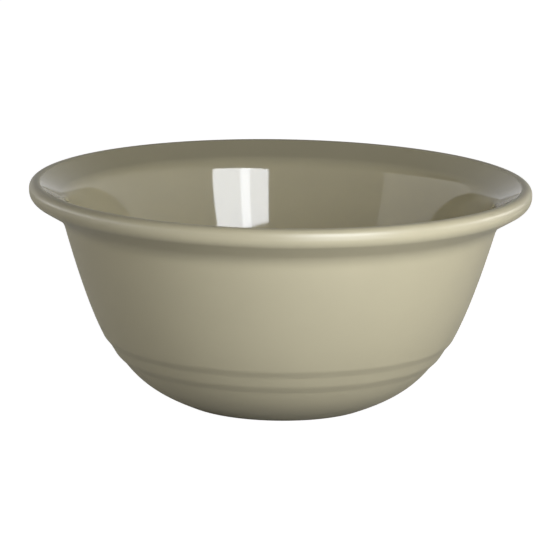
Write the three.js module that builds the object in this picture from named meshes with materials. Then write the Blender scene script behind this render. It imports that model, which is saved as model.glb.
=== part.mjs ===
// A melamine bowl: deep and round, with a flared rim, two plain moulded rings low on the outside
// and a foot ring. It is pressed in two layers, as such ware is: a satin body, and a gloss
// overlay on the inside and the top of the rim.
// Millimetres, +Z up, origin at the centre of the foot's resting plane.
import * as THREE from "three";

const { degToRad, smoothstep } = THREE.MathUtils;

// Overall form
const RIM_RADIUS = 75;
const HEIGHT = 66.5;
const FOOT_RADIUS = 28.6;

// Rim: a flange that rises outwards to a rounded edge with a short upright face
const RIM_SLOPE = degToRad(30.6);
const RIM_OVERHANG = 9.8;
const EDGE_TOP_RADIUS = 2.1;
const EDGE_FACE = 0.7;
const EDGE_UNDER_RADIUS = 3.4;
const COVE_RADIUS = 8;

// Outer wall: one curve, set by its direction at each end and how far it keeps to it
const WALL_LEAN = degToRad(16);
const COVE_REACH = 40.8;
const FOOT_RISE = degToRad(22.6);
const FOOT_REACH = 17.9;

// Rings: on the way down, each steps the wall in by a small soft ledge
const UPPER_RING_HEIGHT = 19.1;
const LOWER_RING_HEIGHT = 13.7;
const RING_STEP = 0.65;
const RING_DROP = 3;

// Inside: a rounded mouth, then one curve down the wall that runs level into the floor
const MOUTH_WALL = 3.05;
const MOUTH_RADIUS = 5.5;
const MOUTH_LEAN = degToRad(18);
const MOUTH_REACH = 11;
const FLOOR_REACH = 32;
const FLOOR_INSET = 8.4;
const FLOOR_THICKNESS = 3.2;

// Layers: the overlay lies in the body with a thin bond between them
const OVERLAY_WALL = 0.8;
const BOND_GAP = 0.3;

// Base: a ring to stand on around a shallow recess
const FOOT_WIDTH = 4;
const RECESS_DEPTH = 1;
const RECESS_DRAFT = 1.2;

// Facets
const SEGMENTS = 64;
const WALL_STEPS = [5, 4, 2, 4, 6];
const COVE_STEPS = 4;
const EDGE_UNDER_STEPS = 5;
const EDGE_TOP_STEPS = 7;
const MOUTH_STEPS = 5;
const INSIDE_STEPS = 11;

const RINGS = [LOWER_RING_HEIGHT, UPPER_RING_HEIGHT];
const SEAT_DEPTH = OVERLAY_WALL + BOND_GAP;
const FLOOR_LEVEL = RECESS_DEPTH + FLOOR_THICKNESS;

// A point of the section: x is the radius, y the height.
const point = (radius, height) => new THREE.Vector2(radius, height);
const towards = (angle) => point(Math.cos(angle), Math.sin(angle));
const leftOf = (direction) => point(-direction.y, direction.x);
const moved = (start, direction, distance) => start.clone().addScaledVector(direction, distance);

// Directions out along the rim, up the outer wall and up the inside at the mouth
const ALONG_RIM = towards(RIM_SLOPE);
const ALONG_WALL = towards(Math.PI / 2 - WALL_LEAN);
const ALONG_MOUTH = towards(Math.PI / 2 - MOUTH_LEAN);

// The centres of the edge's two roundings, and where the flange's faces run into them
const TOP_CENTRE = point(RIM_RADIUS - EDGE_TOP_RADIUS, HEIGHT - EDGE_TOP_RADIUS);
const UNDER_CENTRE = point(RIM_RADIUS - EDGE_UNDER_RADIUS, TOP_CENTRE.y - EDGE_FACE);
const EDGE_TOP = moved(TOP_CENTRE, leftOf(ALONG_RIM), EDGE_TOP_RADIUS);
const EDGE_UNDER = moved(UNDER_CENTRE, leftOf(ALONG_RIM), -EDGE_UNDER_RADIUS);

// Where the line through a along d meets the line through b along e.
function meeting(a, d, b, e) {
  const distance = b.clone().sub(a).cross(e) / d.cross(e);
  return moved(a, d, distance);
}

// Points along the arc that a start makes when it turns about a centre.
function arc(start, centre, turn, steps) {
  const at = (i) => start.clone().rotateAround(centre, (turn * i) / steps);
  return Array.from({ length: steps + 1 }, (_, i) => at(i));
}

// The arc of a given radius that rounds a corner between two directions of travel.
function rounded(corner, before, after, radius, steps) {
  const turn = Math.atan2(before.cross(after), before.dot(after));
  const start = moved(corner, before, -radius * Math.tan(Math.abs(turn) / 2));
  const centre = moved(start, leftOf(before), Math.sign(turn) * radius);
  return arc(start, centre, turn, steps);
}

// The cove between the wall and the rim's underside.
function coveArc() {
  const vertical = point(0, 1);
  const corner = meeting(point(RIM_RADIUS - RIM_OVERHANG, 0), vertical, EDGE_UNDER, ALONG_RIM);
  return rounded(corner, ALONG_WALL, ALONG_RIM, COVE_RADIUS, COVE_STEPS);
}

const COVE = coveArc();

// The wall's outer curve from the foot to the cove, before the rings step it in.
function wallCurve() {
  const foot = point(FOOT_RADIUS + RINGS.length * RING_STEP, 0);
  const footHandle = moved(foot, towards(FOOT_RISE), FOOT_REACH);
  const coveHandle = moved(COVE[0], ALONG_WALL, -COVE_REACH);
  return new THREE.CubicBezierCurve(foot, footHandle, coveHandle, COVE[0]);
}

const WALL = wallCurve();

// The place along the wall's curve that lies at a height.
function placeAt(height) {
  let low = 0;
  let high = 1;
  for (let i = 0; i < 40; i++) {
    const middle = (low + high) / 2;
    if (WALL.getPoint(middle).y < height) low = middle;
    else high = middle;
  }
  return low;
}

// How far the rings have stepped the wall in at a height.
function ringInset(height) {
  const below = (ring) => 1 - smoothstep(height, ring - RING_DROP / 2, ring + RING_DROP / 2);
  return RINGS.reduce((sum, ring) => sum + RING_STEP * below(ring), 0);
}

// The outer wall from the foot up, with its two ledges.
function outerWall() {
  const edges = RINGS.flatMap((ring) => [ring - RING_DROP / 2, ring + RING_DROP / 2]);
  const stops = [0, ...edges.map(placeAt), 1];
  const places = WALL_STEPS.flatMap((steps, k) =>
    Array.from({ length: steps }, (_, i) => stops[k] + ((stops[k + 1] - stops[k]) * i) / steps),
  );
  return places.map((place) => {
    const { x, y } = WALL.getPoint(place);
    return point(x - ringInset(y), y);
  });
}

// The rim's edge from its underside to its top: two roundings with the upright face between.
function rimEdge() {
  const faceTop = point(RIM_RADIUS, TOP_CENTRE.y);
  const under = arc(EDGE_UNDER, UNDER_CENTRE, Math.PI / 2 - RIM_SLOPE, EDGE_UNDER_STEPS);
  const top = arc(faceTop, TOP_CENTRE, Math.PI / 2 + RIM_SLOPE, EDGE_TOP_STEPS);
  return [...under, ...top];
}

// The rounded mouth between the rim's top and the inside wall, at a depth below the surface.
function mouthArc(depth) {
  const wallFace = moved(COVE[0], leftOf(ALONG_WALL), MOUTH_WALL);
  const wallTop = moved(wallFace, leftOf(ALONG_MOUTH), -depth);
  const rimTop = moved(EDGE_TOP, leftOf(ALONG_RIM), -depth);
  const corner = meeting(rimTop, ALONG_RIM, wallTop, ALONG_MOUTH);
  const inwards = ALONG_RIM.clone().negate();
  const down = ALONG_MOUTH.clone().negate();
  return rounded(corner, inwards, down, MOUTH_RADIUS - depth, MOUTH_STEPS);
}

// The inside wall's curve from the mouth's rounding to the edge of the level floor.
function insideCurve() {
  const mouth = mouthArc(0).at(-1);
  const mouthHandle = moved(mouth, ALONG_MOUTH, -MOUTH_REACH);
  const floorEdge = point(FOOT_RADIUS - FLOOR_INSET, FLOOR_LEVEL);
  const floorHandle = point(floorEdge.x + FLOOR_REACH, FLOOR_LEVEL);
  return new THREE.CubicBezierCurve(mouth, mouthHandle, floorHandle, floorEdge);
}

const INSIDE = insideCurve();

// The bowl's inside at a depth below the surface, from the mouth to the axis.
function insideFace(depth) {
  const wall = Array.from({ length: INSIDE_STEPS }, (_, i) => {
    const place = (i + 1) / INSIDE_STEPS;
    return moved(INSIDE.getPoint(place), leftOf(INSIDE.getTangent(place)), depth);
  });
  return [...mouthArc(depth), ...wall, point(0, FLOOR_LEVEL - depth)];
}

// The overlay's edge at the rim: a place along the rim's top, at a depth below it.
function rimSeam(gap, depth) {
  return moved(moved(EDGE_TOP, ALONG_RIM, -gap), leftOf(ALONG_RIM), -depth);
}

// The underside: a shallow recess inside the ring that the bowl stands on.
function underside() {
  const ringInside = FOOT_RADIUS - FOOT_WIDTH;
  return [
    point(0, RECESS_DEPTH),
    point(ringInside - RECESS_DRAFT, RECESS_DEPTH),
    point(ringInside, 0),
  ];
}

function bodySection() {
  return [
    ...underside(),
    ...outerWall(),
    ...COVE,
    ...rimEdge(),
    rimSeam(0, SEAT_DEPTH),
    ...insideFace(SEAT_DEPTH),
  ];
}

function overlaySection() {
  return [
    ...insideFace(OVERLAY_WALL).reverse(),
    rimSeam(BOND_GAP, OVERLAY_WALL),
    rimSeam(BOND_GAP, 0),
    ...insideFace(0),
  ];
}

// Turns a section about the bowl's upright axis.
function turned(name, section, material) {
  const mesh = new THREE.Mesh(new THREE.LatheGeometry(section, SEGMENTS), material);
  mesh.name = name;
  mesh.rotation.x = Math.PI / 2;
  return mesh;
}

const GREIGE = 0xbab193;
const satin = new THREE.MeshStandardMaterial({ color: GREIGE, roughness: 0.35, metalness: 0 });
const gloss = new THREE.MeshStandardMaterial({ color: GREIGE, roughness: 0.06, metalness: 0 });

const bowl = new THREE.Group();
bowl.add(turned("bowl_body", bodySection(), satin));
bowl.add(turned("gloss_overlay", overlaySection(), gloss));

export default bowl;
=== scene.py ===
"""The looks of a melamine bowl: a satin body with a gloss lining, shown on plain white."""
import math

import bpy
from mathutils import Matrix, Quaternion, Vector


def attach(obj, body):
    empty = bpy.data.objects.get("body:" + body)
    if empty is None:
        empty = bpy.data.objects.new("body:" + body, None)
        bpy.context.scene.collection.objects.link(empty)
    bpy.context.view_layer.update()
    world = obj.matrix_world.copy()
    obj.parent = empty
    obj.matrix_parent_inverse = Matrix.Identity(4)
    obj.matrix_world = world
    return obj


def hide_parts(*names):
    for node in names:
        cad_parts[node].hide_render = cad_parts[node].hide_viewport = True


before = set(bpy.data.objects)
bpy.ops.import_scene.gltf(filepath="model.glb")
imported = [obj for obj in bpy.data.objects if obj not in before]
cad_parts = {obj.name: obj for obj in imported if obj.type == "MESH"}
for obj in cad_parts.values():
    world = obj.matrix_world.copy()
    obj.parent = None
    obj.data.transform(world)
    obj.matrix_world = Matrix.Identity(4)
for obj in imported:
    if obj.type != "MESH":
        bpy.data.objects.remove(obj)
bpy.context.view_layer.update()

MM = 0.001

# Section in millimetres, as in the solids
RIM_RADIUS = 75.0
HEIGHT = 66.5
FOOT_RADIUS = 28.6
RIM_SLOPE = math.radians(30.6)
RIM_OVERHANG = 9.8
EDGE_TOP_RADIUS = 2.1
EDGE_FACE = 0.7
EDGE_UNDER_RADIUS = 3.4
COVE_RADIUS = 8.0
WALL_LEAN = math.radians(16)
COVE_REACH = 40.8
FOOT_RISE = math.radians(22.6)
FOOT_REACH = 17.9
RING_HEIGHTS = (13.7, 19.1)
RING_STEP = 0.65
RING_DROP = 3.0
MOUTH_WALL = 3.05
MOUTH_RADIUS = 5.5
MOUTH_LEAN = math.radians(18)
MOUTH_REACH = 11.0
FLOOR_REACH = 32.0
FLOOR_INSET = 8.4
FLOOR_THICKNESS = 3.2
LINING_WALL = 0.8
FOOT_WIDTH = 4.0
RECESS_DEPTH = 1.0
RECESS_DRAFT = 1.2
FLOOR_LEVEL = RECESS_DEPTH + FLOOR_THICKNESS

# The lining is fused to the body, so only a hair's breadth parts them here
BOND = 0.02

# Small roundings under the foot, which the solids leave sharp; the wall starts clear of them
FOOT_ROUND = 0.6
RECESS_ROUND = 0.8
WALL_CLEARANCE = 0.05

# Mesh density and shading; the wall's first few steps give its direction at the foot
SEGMENTS = 224
ARC_STEP = math.radians(5)
CURVE_STEPS = 64
WALL_STEPS = 3 * CURVE_STEPS
FOOT_STEPS = 4
SHARP_ANGLE = math.radians(35)

# Camera, from the outline: its distance and aim in millimetres, how far it sees in metres
CAMERA_DISTANCE = 1200.0
CAMERA_ELEVATION = math.radians(11.922)
CAMERA_ROLL = math.radians(0.881)
CAMERA_AIM = Vector((0.216, 0.0, 36.404))
CAMERA_FAR = 20
FOCAL_PIXELS = 4000.8
FRAME_PIXELS = 560
SENSOR_WIDTH = 36.0


def point(radius, height):
    """A point of the section: x is the radius, y the height."""
    return Vector((radius, height))


def towards(angle):
    return point(math.cos(angle), math.sin(angle))


def left_of(way):
    return point(-way.y, way.x)


def turned(start, centre, angle):
    """A point turned about a centre."""
    x, y = start - centre
    c, s = math.cos(angle), math.sin(angle)
    return centre + point(c * x - s * y, s * x + c * y)


def arc(start, centre, turn):
    """Points along the arc that a start makes when it turns about a centre."""
    steps = max(2, math.ceil(abs(turn) / ARC_STEP))
    return [turned(start, centre, turn * i / steps) for i in range(steps + 1)]


def meeting(a, d, b, e):
    """Where the line through a along d meets the line through b along e."""
    gap = b - a
    return a + d * (gap.cross(e) / d.cross(e))


def rounded(corner, before, after, radius):
    """The arc of a given radius that rounds a corner between two directions of travel."""
    turn = math.atan2(before.cross(after), before.dot(after))
    start = corner - before * radius * math.tan(abs(turn) / 2)
    centre = start + left_of(before) * math.copysign(radius, turn)
    return arc(start, centre, turn)


def bezier(p0, p1, p2, p3, t):
    """A point of a cubic curve, and its direction."""
    u = 1 - t
    place = p0 * u ** 3 + p1 * 3 * u * u * t + p2 * 3 * u * t * t + p3 * t ** 3
    way = (p1 - p0) * u * u + (p2 - p1) * 2 * u * t + (p3 - p2) * t * t
    return place, way.normalized()


ALONG_RIM = towards(RIM_SLOPE)
ALONG_WALL = towards(math.pi / 2 - WALL_LEAN)
ALONG_MOUTH = towards(math.pi / 2 - MOUTH_LEAN)
TOP_CENTRE = point(RIM_RADIUS - EDGE_TOP_RADIUS, HEIGHT - EDGE_TOP_RADIUS)
UNDER_CENTRE = point(RIM_RADIUS - EDGE_UNDER_RADIUS, TOP_CENTRE.y - EDGE_FACE)
EDGE_TOP = TOP_CENTRE + left_of(ALONG_RIM) * EDGE_TOP_RADIUS
EDGE_UNDER = UNDER_CENTRE - left_of(ALONG_RIM) * EDGE_UNDER_RADIUS


def cove_arc():
    """The cove between the wall and the rim's underside."""
    corner = meeting(point(RIM_RADIUS - RIM_OVERHANG, 0), point(0, 1), EDGE_UNDER, ALONG_RIM)
    return rounded(corner, ALONG_WALL, ALONG_RIM, COVE_RADIUS)


COVE = cove_arc()


def ring_inset(height):
    """How far the rings have stepped the wall in at a height, as smooth ledges."""
    total = 0.0
    for ring in RING_HEIGHTS:
        t = min(max((ring + RING_DROP / 2 - height) / RING_DROP, 0.0), 1.0)
        total += RING_STEP * t * t * (3 - 2 * t)
    return total


def outer_wall():
    """The outer wall from the foot up to the cove, with its two ledges."""
    foot = point(FOOT_RADIUS + len(RING_HEIGHTS) * RING_STEP, 0)
    foot_handle = foot + towards(FOOT_RISE) * FOOT_REACH
    cove_handle = COVE[0] - ALONG_WALL * COVE_REACH
    curve = (foot, foot_handle, cove_handle, COVE[0])
    wall = [bezier(*curve, i / WALL_STEPS)[0] for i in range(WALL_STEPS)]
    return [point(p.x - ring_inset(p.y), p.y) for p in wall]


def rim_edge():
    """The rim's edge from its underside to its top."""
    under = arc(EDGE_UNDER, UNDER_CENTRE, math.pi / 2 - RIM_SLOPE)
    top = arc(point(RIM_RADIUS, TOP_CENTRE.y), TOP_CENTRE, math.pi / 2 + RIM_SLOPE)
    return under + top


def mouth_arc(depth):
    """The rounded mouth between the rim's top and the inside wall, at a depth below the surface."""
    wall_top = COVE[0] + left_of(ALONG_WALL) * MOUTH_WALL - left_of(ALONG_MOUTH) * depth
    rim_top = EDGE_TOP - left_of(ALONG_RIM) * depth
    corner = meeting(rim_top, ALONG_RIM, wall_top, ALONG_MOUTH)
    return rounded(corner, -ALONG_RIM, -ALONG_MOUTH, MOUTH_RADIUS - depth)


def inside_face(depth):
    """The bowl's inside at a depth below the surface, from the mouth to the axis."""
    mouth = mouth_arc(0)[-1]
    mouth_handle = mouth - ALONG_MOUTH * MOUTH_REACH
    floor_edge = point(FOOT_RADIUS - FLOOR_INSET, FLOOR_LEVEL)
    floor_handle = floor_edge + point(FLOOR_REACH, 0)
    wall = []
    for i in range(1, CURVE_STEPS + 1):
        place, way = bezier(mouth, mouth_handle, floor_handle, floor_edge, i / CURVE_STEPS)
        wall.append(place + left_of(way) * depth)
    return mouth_arc(depth) + wall + [point(0, FLOOR_LEVEL - depth)]


def rim_seam(gap, depth):
    """The lining's edge at the rim: a place along the rim's top, at a depth below it."""
    return EDGE_TOP - ALONG_RIM * gap - left_of(ALONG_RIM) * depth


def underside(wall):
    """The recess and the foot ring, with small roundings, from the axis to the wall."""
    ring_inside = point(FOOT_RADIUS - FOOT_WIDTH, 0)
    recess_edge = point(ring_inside.x - RECESS_DRAFT, RECESS_DEPTH)
    outwards = point(1, 0)
    draft = (ring_inside - recess_edge).normalized()
    up = (wall[FOOT_STEPS] - wall[0]).normalized()
    return [
        point(0, RECESS_DEPTH),
        *rounded(recess_edge, outwards, draft, RECESS_ROUND),
        *rounded(ring_inside, draft, outwards, FOOT_ROUND),
        *rounded(point(wall[0].x, 0), outwards, up, FOOT_ROUND),
    ]


def body_section():
    wall = outer_wall()
    base = underside(wall)
    above = [p for p in wall if p.y > base[-1].y + WALL_CLEARANCE]
    seat = LINING_WALL + BOND
    return base + above + COVE + rim_edge() + [rim_seam(0, seat)] + inside_face(seat)


def lining_section():
    back = list(reversed(inside_face(LINING_WALL)))
    return back + [rim_seam(BOND, LINING_WALL), rim_seam(BOND, 0)] + inside_face(0)


def lathe(name, section, material):
    """Turns a section that starts and ends on the axis into a closed mesh."""
    inner = section[1:-1]
    verts = [(0.0, 0.0, section[0].y * MM)]
    for k in range(SEGMENTS):
        angle = 2 * math.pi * k / SEGMENTS
        c, s = math.cos(angle), math.sin(angle)
        verts += [(p.x * c * MM, p.x * s * MM, p.y * MM) for p in inner]
    verts.append((0.0, 0.0, section[-1].y * MM))
    last = len(verts) - 1
    count = len(inner)
    faces = []
    for k in range(SEGMENTS):
        here = 1 + k * count
        there = 1 + ((k + 1) % SEGMENTS) * count
        faces.append((0, there, here))
        for i in range(count - 1):
            faces.append((here + i, there + i, there + i + 1, here + i + 1))
        faces.append((here + count - 1, there + count - 1, last))
    mesh = bpy.data.meshes.new(name)
    mesh.from_pydata(verts, [], faces)
    mesh.polygons.foreach_set("use_smooth", [True] * len(mesh.polygons))
    mesh.set_sharp_from_angle(angle=SHARP_ANGLE)
    mesh.materials.append(material)
    mesh.update()
    piece = bpy.data.objects.new(name, mesh)
    bpy.context.scene.collection.objects.link(piece)
    return piece


# Materials

GREIGE = (0.49, 0.44, 0.29)
MELAMINE_IOR = 1.68
MOTTLE_SCALE = 60
MOTTLE_DETAIL = 4
MOTTLE_ENDS = (0.3, 0.7)
MOTTLE_SPREAD = 0.015
GRAIN_DETAIL = 3
GRAIN_RELIEF = 0.01 * MM


def noise(nodes, links, place, scale, detail):
    texture = nodes.new("ShaderNodeTexNoise")
    texture.inputs["Scale"].default_value = scale
    texture.inputs["Detail"].default_value = detail
    links.new(place, texture.inputs["Vector"])
    return texture.outputs["Fac"]


def melamine(name, roughness, spread, bump, grain):
    """Moulded melamine: a faint mottle in the colour, and a fine uneven surface."""
    material = bpy.data.materials.new(name)
    material.use_nodes = True
    nodes, links = material.node_tree.nodes, material.node_tree.links
    shader = nodes["Principled BSDF"]
    shader.inputs["IOR"].default_value = MELAMINE_IOR
    place = nodes.new("ShaderNodeTexCoord").outputs["Object"]

    mottle = noise(nodes, links, place, MOTTLE_SCALE, MOTTLE_DETAIL)
    tint = nodes.new("ShaderNodeValToRGB")
    low, high = tint.color_ramp.elements
    low.position, high.position = MOTTLE_ENDS
    low.color = [c * (1 - MOTTLE_SPREAD) for c in GREIGE] + [1.0]
    high.color = [c * (1 + MOTTLE_SPREAD) for c in GREIGE] + [1.0]
    links.new(mottle, tint.inputs["Fac"])
    links.new(tint.outputs["Color"], shader.inputs["Base Color"])

    fine = noise(nodes, links, place, grain, GRAIN_DETAIL)
    rough = nodes.new("ShaderNodeMapRange")
    rough.inputs["To Min"].default_value = roughness - spread
    rough.inputs["To Max"].default_value = roughness + spread
    links.new(fine, rough.inputs["Value"])
    links.new(rough.outputs["Result"], shader.inputs["Roughness"])
    relief = nodes.new("ShaderNodeBump")
    relief.inputs["Strength"].default_value = bump
    relief.inputs["Distance"].default_value = GRAIN_RELIEF
    links.new(fine, relief.inputs["Height"])
    links.new(relief.outputs["Normal"], shader.inputs["Normal"])
    return material


satin = melamine("satin_melamine", roughness=0.38, spread=0.04, bump=0.3, grain=1800)
gloss = melamine("gloss_melamine", roughness=0.05, spread=0.015, bump=0.05, grain=900)

satin_body = lathe("satin_body", body_section(), satin)
gloss_lining = lathe("gloss_lining", lining_section(), gloss)
for piece, node, slot in (
    (satin_body, "bowl_body", "satin_melamine"),
    (gloss_lining, "gloss_overlay", "gloss_melamine"),
):
    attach(piece, "root")
    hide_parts(node)


# Camera

def make_camera():
    data = bpy.data.cameras.new("camera")
    data.sensor_fit = "HORIZONTAL"
    data.sensor_width = SENSOR_WIDTH
    data.lens = FOCAL_PIXELS / FRAME_PIXELS * SENSOR_WIDTH
    data.clip_end = CAMERA_FAR
    camera = bpy.data.objects.new("camera", data)
    back = Vector((0, -math.cos(CAMERA_ELEVATION), math.sin(CAMERA_ELEVATION)))
    camera.location = (CAMERA_AIM + back * CAMERA_DISTANCE) * MM
    camera.rotation_mode = "QUATERNION"
    roll = Quaternion((0, 0, 1), CAMERA_ROLL)
    camera.rotation_quaternion = (-back).to_track_quat("-Z", "Y") @ roll
    bpy.context.scene.collection.objects.link(camera)
    bpy.context.scene.camera = camera


make_camera()


# Studio in metres: azimuth in degrees from the camera's side (0) to the right (90), elevation up

DAYLIGHT = (0.965, 1.0, 1.075)
STUDIO_CENTRE = Vector((0, 0, 0.05))
WALL_DISTANCE = 1.6
DOME_DISTANCE = 1.8
WALL_STEP = 7.5

# The softbox fills the window that the inside's back wall mirrors; its middle stands just before it
BACK_WALL = Vector((-0.012, 0.062, 0.05))
SOFTBOX_REACH = 0.4
SOFTBOX_ACROSS = (8.3, 38.5)
SOFTBOX_UP = (10, 24.6)
FOOT_UP = (-6.5, 10)
MIDDLE_REACH = 0.397
MIDDLE_ACROSS = (18.3, 23.3)

# The spot over the bowl: its height above the bowl's floor, and the patch that it lights there
SPOT_REACH = 1.5
SPOT_RADIUS = 0.05
SPOT_BLEND = 0.6
SPOT_SIZE = 0.008

# Sectors round the table, and the band that the low strips fill
ALL_ROUND = (-180, 180)
BACK_LEFT = (-180, -130)
LEFT = (-130, -62.5)
FRONT_LEFT = (-62.5, -20)
FRONT = (-62.5, 40)
FRONT_AND_RIGHT = (40, 130)
RIGHT = (75, 130)
BACK_RIGHT = (130, 180)
LOW_BAND = (-3, 5)

# The table: its glow is what the camera sees, and its dimmer level is what the bowl mirrors, darkened
# near the bowl by ambient occlusion as a painted contact shadow
TABLE_HALF = 3.0
TABLE_TONE = (0.26, 0.26, 0.26, 1)
TABLE_GLOW = 0.97
TABLE_MIRRORED = 0.2
# How far the painted contact shadow in the mirrored grey reaches
PAINTED_SHADOW_REACH = 0.08


def direction(azimuth, elevation):
    """The direction from the bowl to a place in the studio."""
    a, e = math.radians(azimuth), math.radians(elevation)
    return Vector((math.sin(a) * math.cos(e), -math.cos(a) * math.cos(e), math.sin(e)))


def soft_light(name, azimuths, elevations, reach, radiance):
    """An upright area light that fills a window of directions, seen from the inside's back wall."""
    way = direction(sum(azimuths) / 2, 0)
    half = math.radians(azimuths[1] - azimuths[0]) / 2
    low, high = (BACK_WALL.z + reach * math.tan(math.radians(e)) for e in elevations)
    data = bpy.data.lights.new(name, "AREA")
    data.shape = "RECTANGLE"
    data.size = 2 * reach * math.tan(half)
    data.size_y = high - low
    data.energy = radiance * math.pi * data.size * data.size_y
    data.color = DAYLIGHT
    light = bpy.data.objects.new(name, data)
    light.location = (BACK_WALL.x + reach * way.x, BACK_WALL.y + reach * way.y, (low + high) / 2)
    light.rotation_mode = "QUATERNION"
    light.rotation_quaternion = way.to_track_quat("Z", "Y")
    light.visible_camera = False
    bpy.context.scene.collection.objects.link(light)


def spot_light(name, level):
    """A soft spot straight above the bowl's floor, clear of the rim; at level 1 white looks white."""
    data = bpy.data.lights.new(name, "SPOT")
    data.spot_size = 2 * math.atan(SPOT_RADIUS / SPOT_REACH)
    data.spot_blend = SPOT_BLEND
    data.shadow_soft_size = SPOT_SIZE
    data.energy = level * (2 * math.pi * SPOT_REACH) ** 2
    data.color = DAYLIGHT
    light = bpy.data.objects.new(name, data)
    light.location = (0, 0, FLOOR_LEVEL * MM + SPOT_REACH)
    bpy.context.scene.collection.objects.link(light)


def steps_between(ends):
    """Even steps from one angle to another."""
    count = math.ceil((ends[1] - ends[0]) / WALL_STEP)
    return [ends[0] + (ends[1] - ends[0]) * i / count for i in range(count + 1)]


def fading_grey(name, levels):
    """A glow that changes evenly from a wall's foot to its top."""
    material = bpy.data.materials.new(name)
    material.use_nodes = True
    nodes, links = material.node_tree.nodes, material.node_tree.links
    nodes.remove(nodes["Principled BSDF"])
    place = nodes.new("ShaderNodeTexCoord").outputs["Generated"]
    height = nodes.new("ShaderNodeSeparateXYZ")
    links.new(place, height.inputs[0])
    fade = nodes.new("ShaderNodeMapRange")
    fade.inputs["To Min"].default_value, fade.inputs["To Max"].default_value = levels
    links.new(height.outputs["Z"], fade.inputs["Value"])
    grey = nodes.new("ShaderNodeEmission")
    links.new(fade.outputs["Result"], grey.inputs["Strength"])
    links.new(grey.outputs[0], nodes["Material Output"].inputs["Surface"])
    return material


def studio_wall(name, azimuths, elevations, levels, distance=WALL_DISTANCE):
    """A curved studio wall with a level at its foot and one at its top; the camera looks past it."""
    across, up = steps_between(azimuths), steps_between(elevations)
    verts = [STUDIO_CENTRE + direction(a, e) * distance for a in across for e in up]
    rows = len(up)
    corners = [i * rows + j for i in range(len(across) - 1) for j in range(rows - 1)]
    mesh = bpy.data.meshes.new(name)
    mesh.from_pydata(verts, [], [(c, c + 1, c + rows + 1, c + rows) for c in corners])
    mesh.materials.append(fading_grey(name, levels))
    panel = bpy.data.objects.new(name, mesh)
    panel.visible_camera = False
    bpy.context.scene.collection.objects.link(panel)


def low_strip(name, azimuths, level):
    """A low wall of one even level."""
    studio_wall(name, azimuths, LOW_BAND, (level, level))


def either(nodes, links, a, b):
    """One where either of two marks is one, else nought."""
    larger = nodes.new("ShaderNodeMath")
    larger.operation = "MAXIMUM"
    links.new(a, larger.inputs[0])
    links.new(b, larger.inputs[1])
    return larger.outputs[0]


def make_world():
    """White where the camera, a mirror or glass sees it past the walls, and no light otherwise."""
    world = bpy.data.worlds.new("studio")
    bpy.context.scene.world = world
    world.use_nodes = True
    nodes, links = world.node_tree.nodes, world.node_tree.links
    dark = nodes["Background"]
    dark.inputs["Strength"].default_value = 0.0
    white = nodes.new("ShaderNodeBackground")
    white.inputs["Color"].default_value = (1, 1, 1, 1)
    white.inputs["Strength"].default_value = 1.0
    path = nodes.new("ShaderNodeLightPath").outputs
    in_mirror = either(nodes, links, path["Is Glossy Ray"], path["Is Transmission Ray"])
    mix = nodes.new("ShaderNodeMixShader")
    links.new(either(nodes, links, path["Is Camera Ray"], in_mirror), mix.inputs["Fac"])
    links.new(dark.outputs[0], mix.inputs[1])
    links.new(white.outputs[0], mix.inputs[2])
    links.new(mix.outputs[0], nodes["World Output"].inputs["Surface"])


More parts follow.
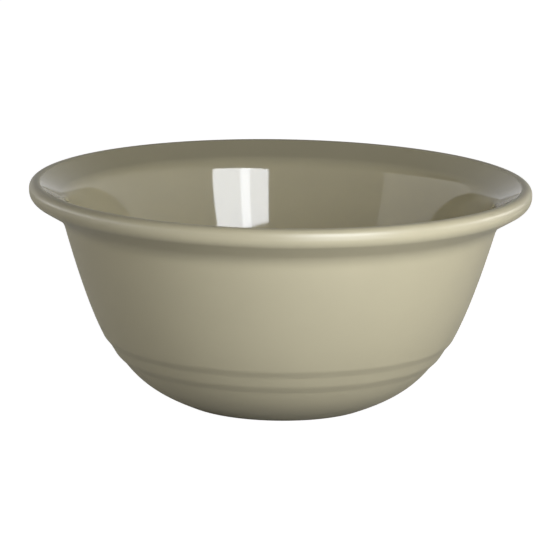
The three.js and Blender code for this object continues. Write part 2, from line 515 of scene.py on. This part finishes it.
def table_material():
    """White to the camera, a dim grey in the bowl's gloss with a painted contact shadow from ambient
    occlusion near the bowl, and lit so that it keeps the shadow.
    """
    material = bpy.data.materials.new("white_table")
    material.use_nodes = True
    nodes, links = material.node_tree.nodes, material.node_tree.links
    nodes.remove(nodes["Principled BSDF"])
    lit = nodes.new("ShaderNodeBsdfDiffuse")
    lit.inputs["Color"].default_value = TABLE_TONE
    glow = nodes.new("ShaderNodeEmission")
    glow.inputs["Strength"].default_value = TABLE_GLOW
    # Ambient occlusion darkens the mirrored grey near the bowl: a painted contact shadow
    painted_contact_shadow = nodes.new("ShaderNodeAmbientOcclusion")
    painted_contact_shadow.inputs["Distance"].default_value = PAINTED_SHADOW_REACH
    mirrored = nodes.new("ShaderNodeEmission")
    mirrored.inputs["Strength"].default_value = TABLE_MIRRORED
    links.new(painted_contact_shadow.outputs["Color"], mirrored.inputs["Color"])
    path = nodes.new("ShaderNodeLightPath").outputs
    reflected = nodes.new("ShaderNodeMixShader")
    in_mirror = either(nodes, links, path["Is Glossy Ray"], path["Is Transmission Ray"])
    links.new(in_mirror, reflected.inputs["Fac"])
    links.new(mirrored.outputs[0], reflected.inputs[2])
    shown = nodes.new("ShaderNodeMixShader")
    links.new(path["Is Camera Ray"], shown.inputs["Fac"])
    links.new(reflected.outputs[0], shown.inputs[1])
    links.new(glow.outputs[0], shown.inputs[2])
    both = nodes.new("ShaderNodeAddShader")
    links.new(lit.outputs[0], both.inputs[0])
    links.new(shown.outputs[0], both.inputs[1])
    links.new(both.outputs[0], nodes["Material Output"].inputs["Surface"])
    return material


def make_table():
    mesh = bpy.data.meshes.new("floor")
    h = TABLE_HALF
    mesh.from_pydata([(-h, -h, 0), (h, -h, 0), (h, h, 0), (-h, h, 0)], [], [(0, 1, 2, 3)])
    mesh.materials.append(table_material())
    floor = bpy.data.objects.new("floor", mesh)
    bpy.context.scene.collection.objects.link(floor)


make_table()
make_world()

# The softbox has a dimmer foot, and its middle adds to it
soft_light("softbox", SOFTBOX_ACROSS, SOFTBOX_UP, SOFTBOX_REACH, radiance=8.1)
soft_light("softbox_foot", SOFTBOX_ACROSS, FOOT_UP, SOFTBOX_REACH, radiance=5.5)
soft_light("softbox_middle", MIDDLE_ACROSS, SOFTBOX_UP, MIDDLE_REACH, radiance=3.2)

# A spot from above lights the floor of the bowl, and the floor lights the inside wall
spot_light("inside_spot", level=1.15)

# Grey walls and low bright strips stand round the table in a dark studio
studio_wall("dome", ALL_ROUND, elevations=(-3, 90), levels=(0.01, 0.01), distance=DOME_DISTANCE)
low_strip("front_left_strip", FRONT_LEFT, level=2.4)
studio_wall("front_wall", FRONT, elevations=(15, 40), levels=(0.25, 0.0))
low_strip("right_strip", RIGHT, level=8.5)
studio_wall("right_wall", FRONT_AND_RIGHT, elevations=(5, 40), levels=(0.75, 0.0))
studio_wall("back_right_wall", BACK_RIGHT, elevations=(-3, 45), levels=(0.8, 0.0))
studio_wall("back_left_wall", BACK_LEFT, elevations=(-3, 55), levels=(0.8, 0.0))
low_strip("left_strip", LEFT, level=5.2)
studio_wall("left_wall", LEFT, elevations=(5, 26), levels=(0.8, 0.8))
bpy.context.scene.view_settings.view_transform = "Standard"
